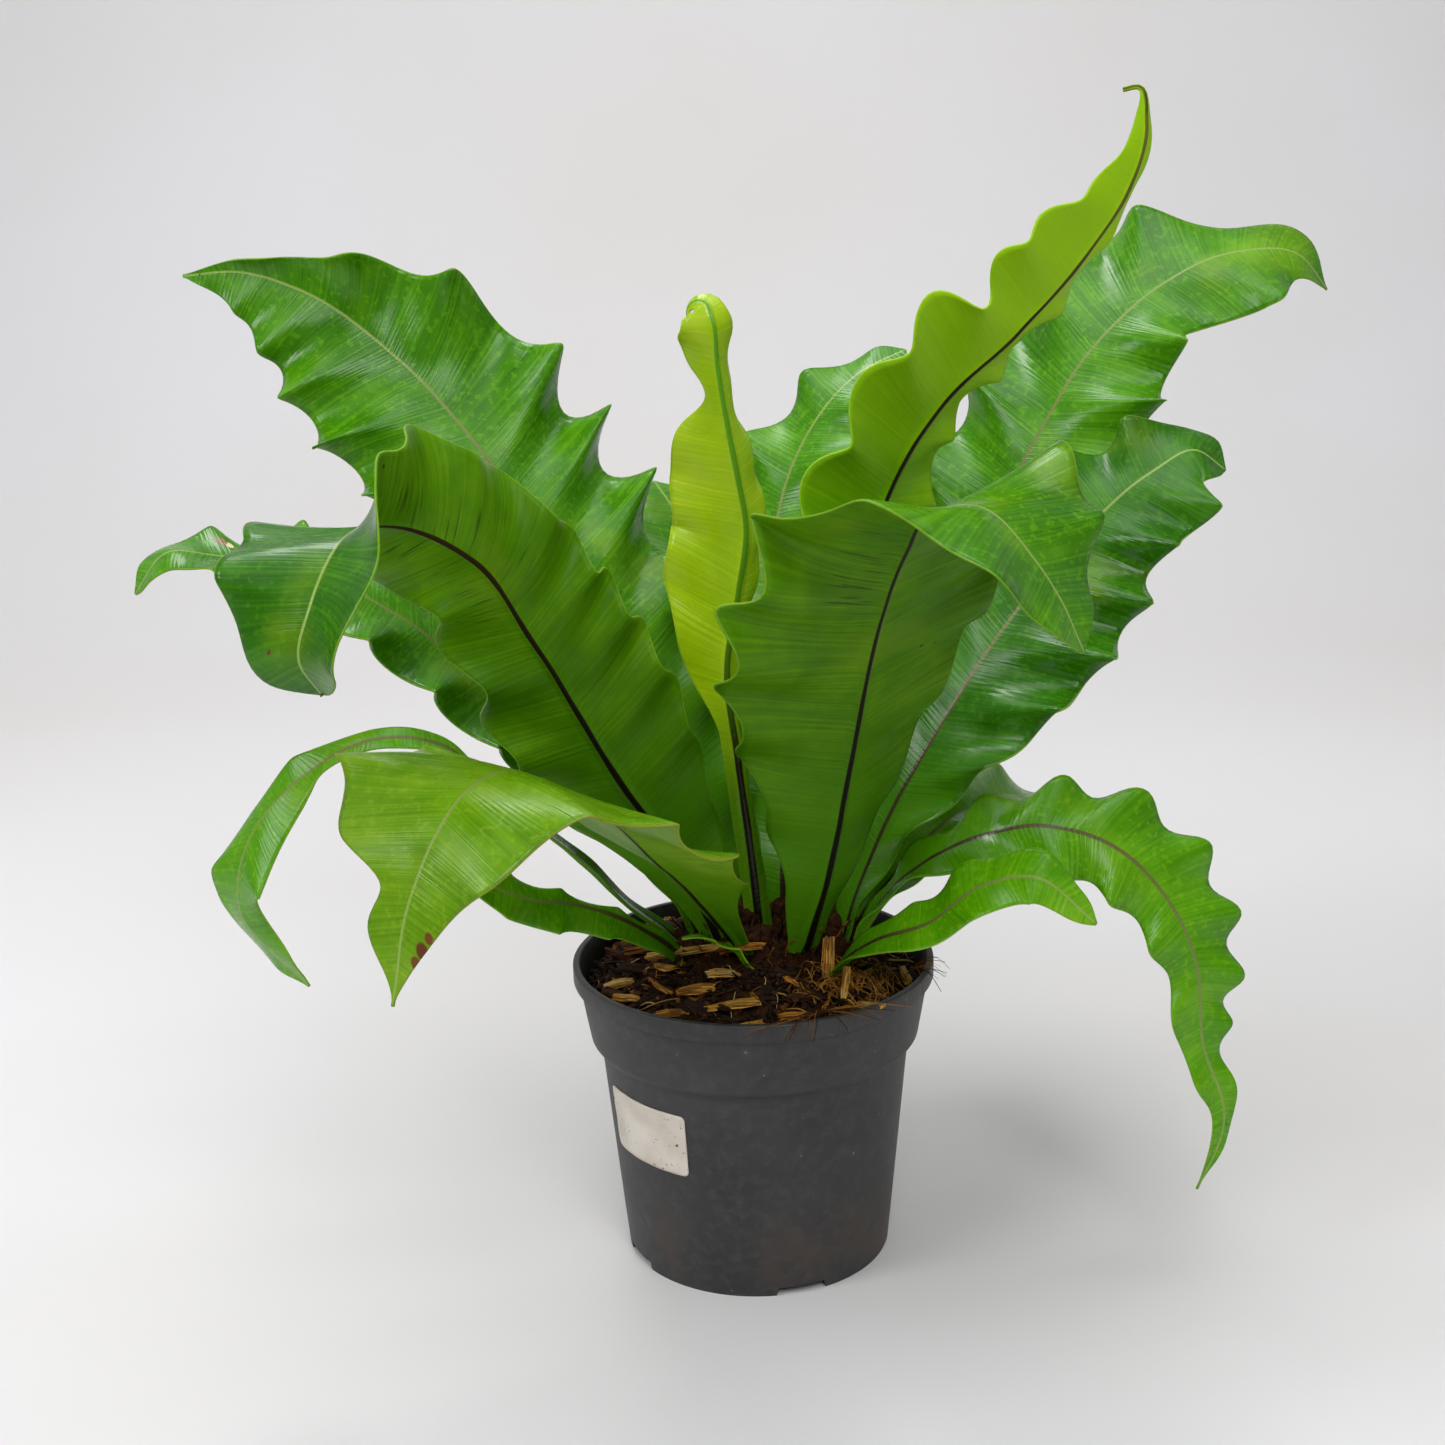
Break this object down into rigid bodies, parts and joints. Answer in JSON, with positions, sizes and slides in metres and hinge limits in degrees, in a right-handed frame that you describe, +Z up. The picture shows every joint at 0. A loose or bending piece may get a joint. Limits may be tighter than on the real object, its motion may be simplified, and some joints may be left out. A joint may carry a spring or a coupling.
{
  "type": "potted birds nest fern",
  "caption": "Bird's nest fern with broad waved fronds in a rosette, growing in a round plastic nursery pot filled with bark mix, for standing on a flat surface.",
  "frame": {"origin": "middle of the pot's base, on the plane that it stands on", "axes": "+Z up along the pot's axis; -Y towards the pictured side, with +X to its right"},
  "size_m": [0.5655, 0.4487, 0.533],
  "materials": {
    "pot_plastic": "matte anthracite, dusty, with dried soil splashes near the base",
    "label_paper": "matt white paper with specks of soil",
    "bark_mix": "dark peat with rough bark chips, fibres and straw",
    "crown_fibre": "dark matted root fibre with old stalk bases",
    "leaf": "waxy green with fine veins square to a dark rib",
    "young_leaf": "glossy yellow-green with fine veins"
  },
  "bodies": {
    "root": {"pot": "pot_plastic", "pot_label": "label_paper", "potting_mix": "bark_mix", "crown": "crown_fibre", "frond_back_left": "leaf", "frond_left": "leaf", "frond_front_left": "leaf", "frond_low_front_left": "leaf", "frond_trailing_left": "leaf", "frond_small_left": "leaf", "frond_shoot": "leaf", "frond_young_centre": "young_leaf", "frond_back_centre": "leaf", "frond_young_right": "young_leaf", "frond_front_right": "leaf", "frond_back_right": "leaf", "frond_right": "leaf", "frond_trailing_right": "leaf", "frond_low_back_right": "leaf", "frond_small_right": "leaf", "frond_back": "leaf", "frond_low_back": "leaf"}
  },
  "joints": []
}
